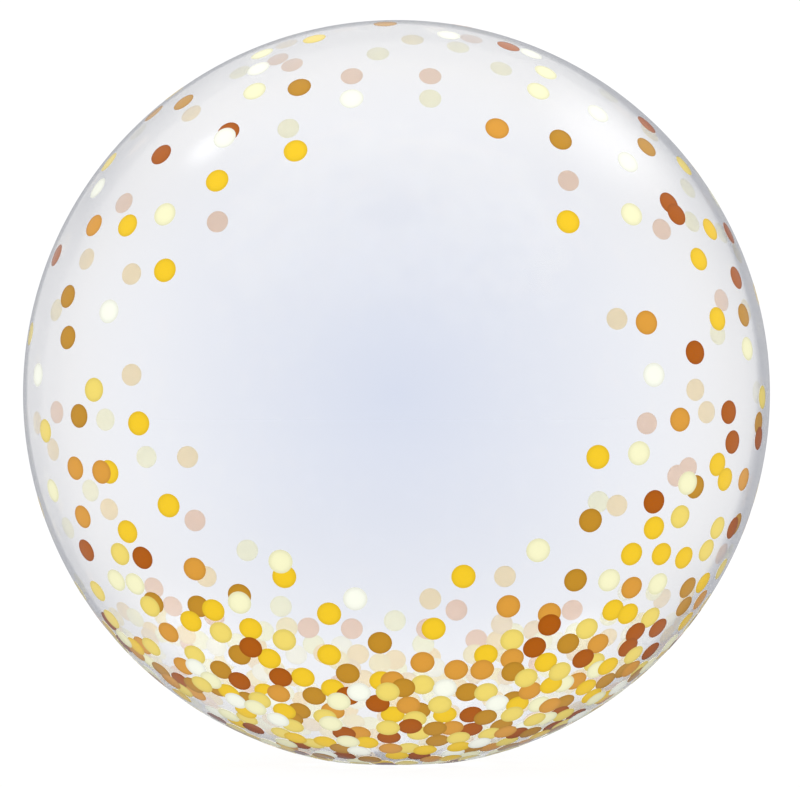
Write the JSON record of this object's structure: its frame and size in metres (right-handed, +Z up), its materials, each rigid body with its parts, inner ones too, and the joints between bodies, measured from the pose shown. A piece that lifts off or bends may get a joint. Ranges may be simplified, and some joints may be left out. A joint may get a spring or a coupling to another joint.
{
  "type": "clear bubble balloon",
  "caption": "Round clear film bubble balloon with a confetti dot print, resting on a small flat spot, its flat sealed filling tail folded back along the floor.",
  "frame": {"origin": "middle of the flat spot that the ball rests on, which is the bottom centre of the bounding box", "axes": "+Z up through the ball's centre, +Y towards the back, the way the filling tail is folded, +X to the right seen from the front of the print"},
  "size_m": [0.61, 0.61, 0.6074],
  "materials": {
    "clear_film": "clear gloss stretch film with a faint lavender tint, a soft grey sheen at the rim",
    "gold_ink": "printed gold-yellow ink dots, opaque outside, a paler tint seen from inside",
    "pale_yellow_ink": "printed pale yellow ink dots",
    "amber_ink": "printed amber ink dots",
    "ochre_ink": "printed ochre ink dots",
    "copper_ink": "printed copper-brown ink dots",
    "cream_ink": "printed cream ink dots",
    "white_ink": "printed white ink dots"
  },
  "bodies": {
    "root": {"bubble_balloon": "clear_film", "filling_tail": "clear_film"}
  },
  "joints": []
}
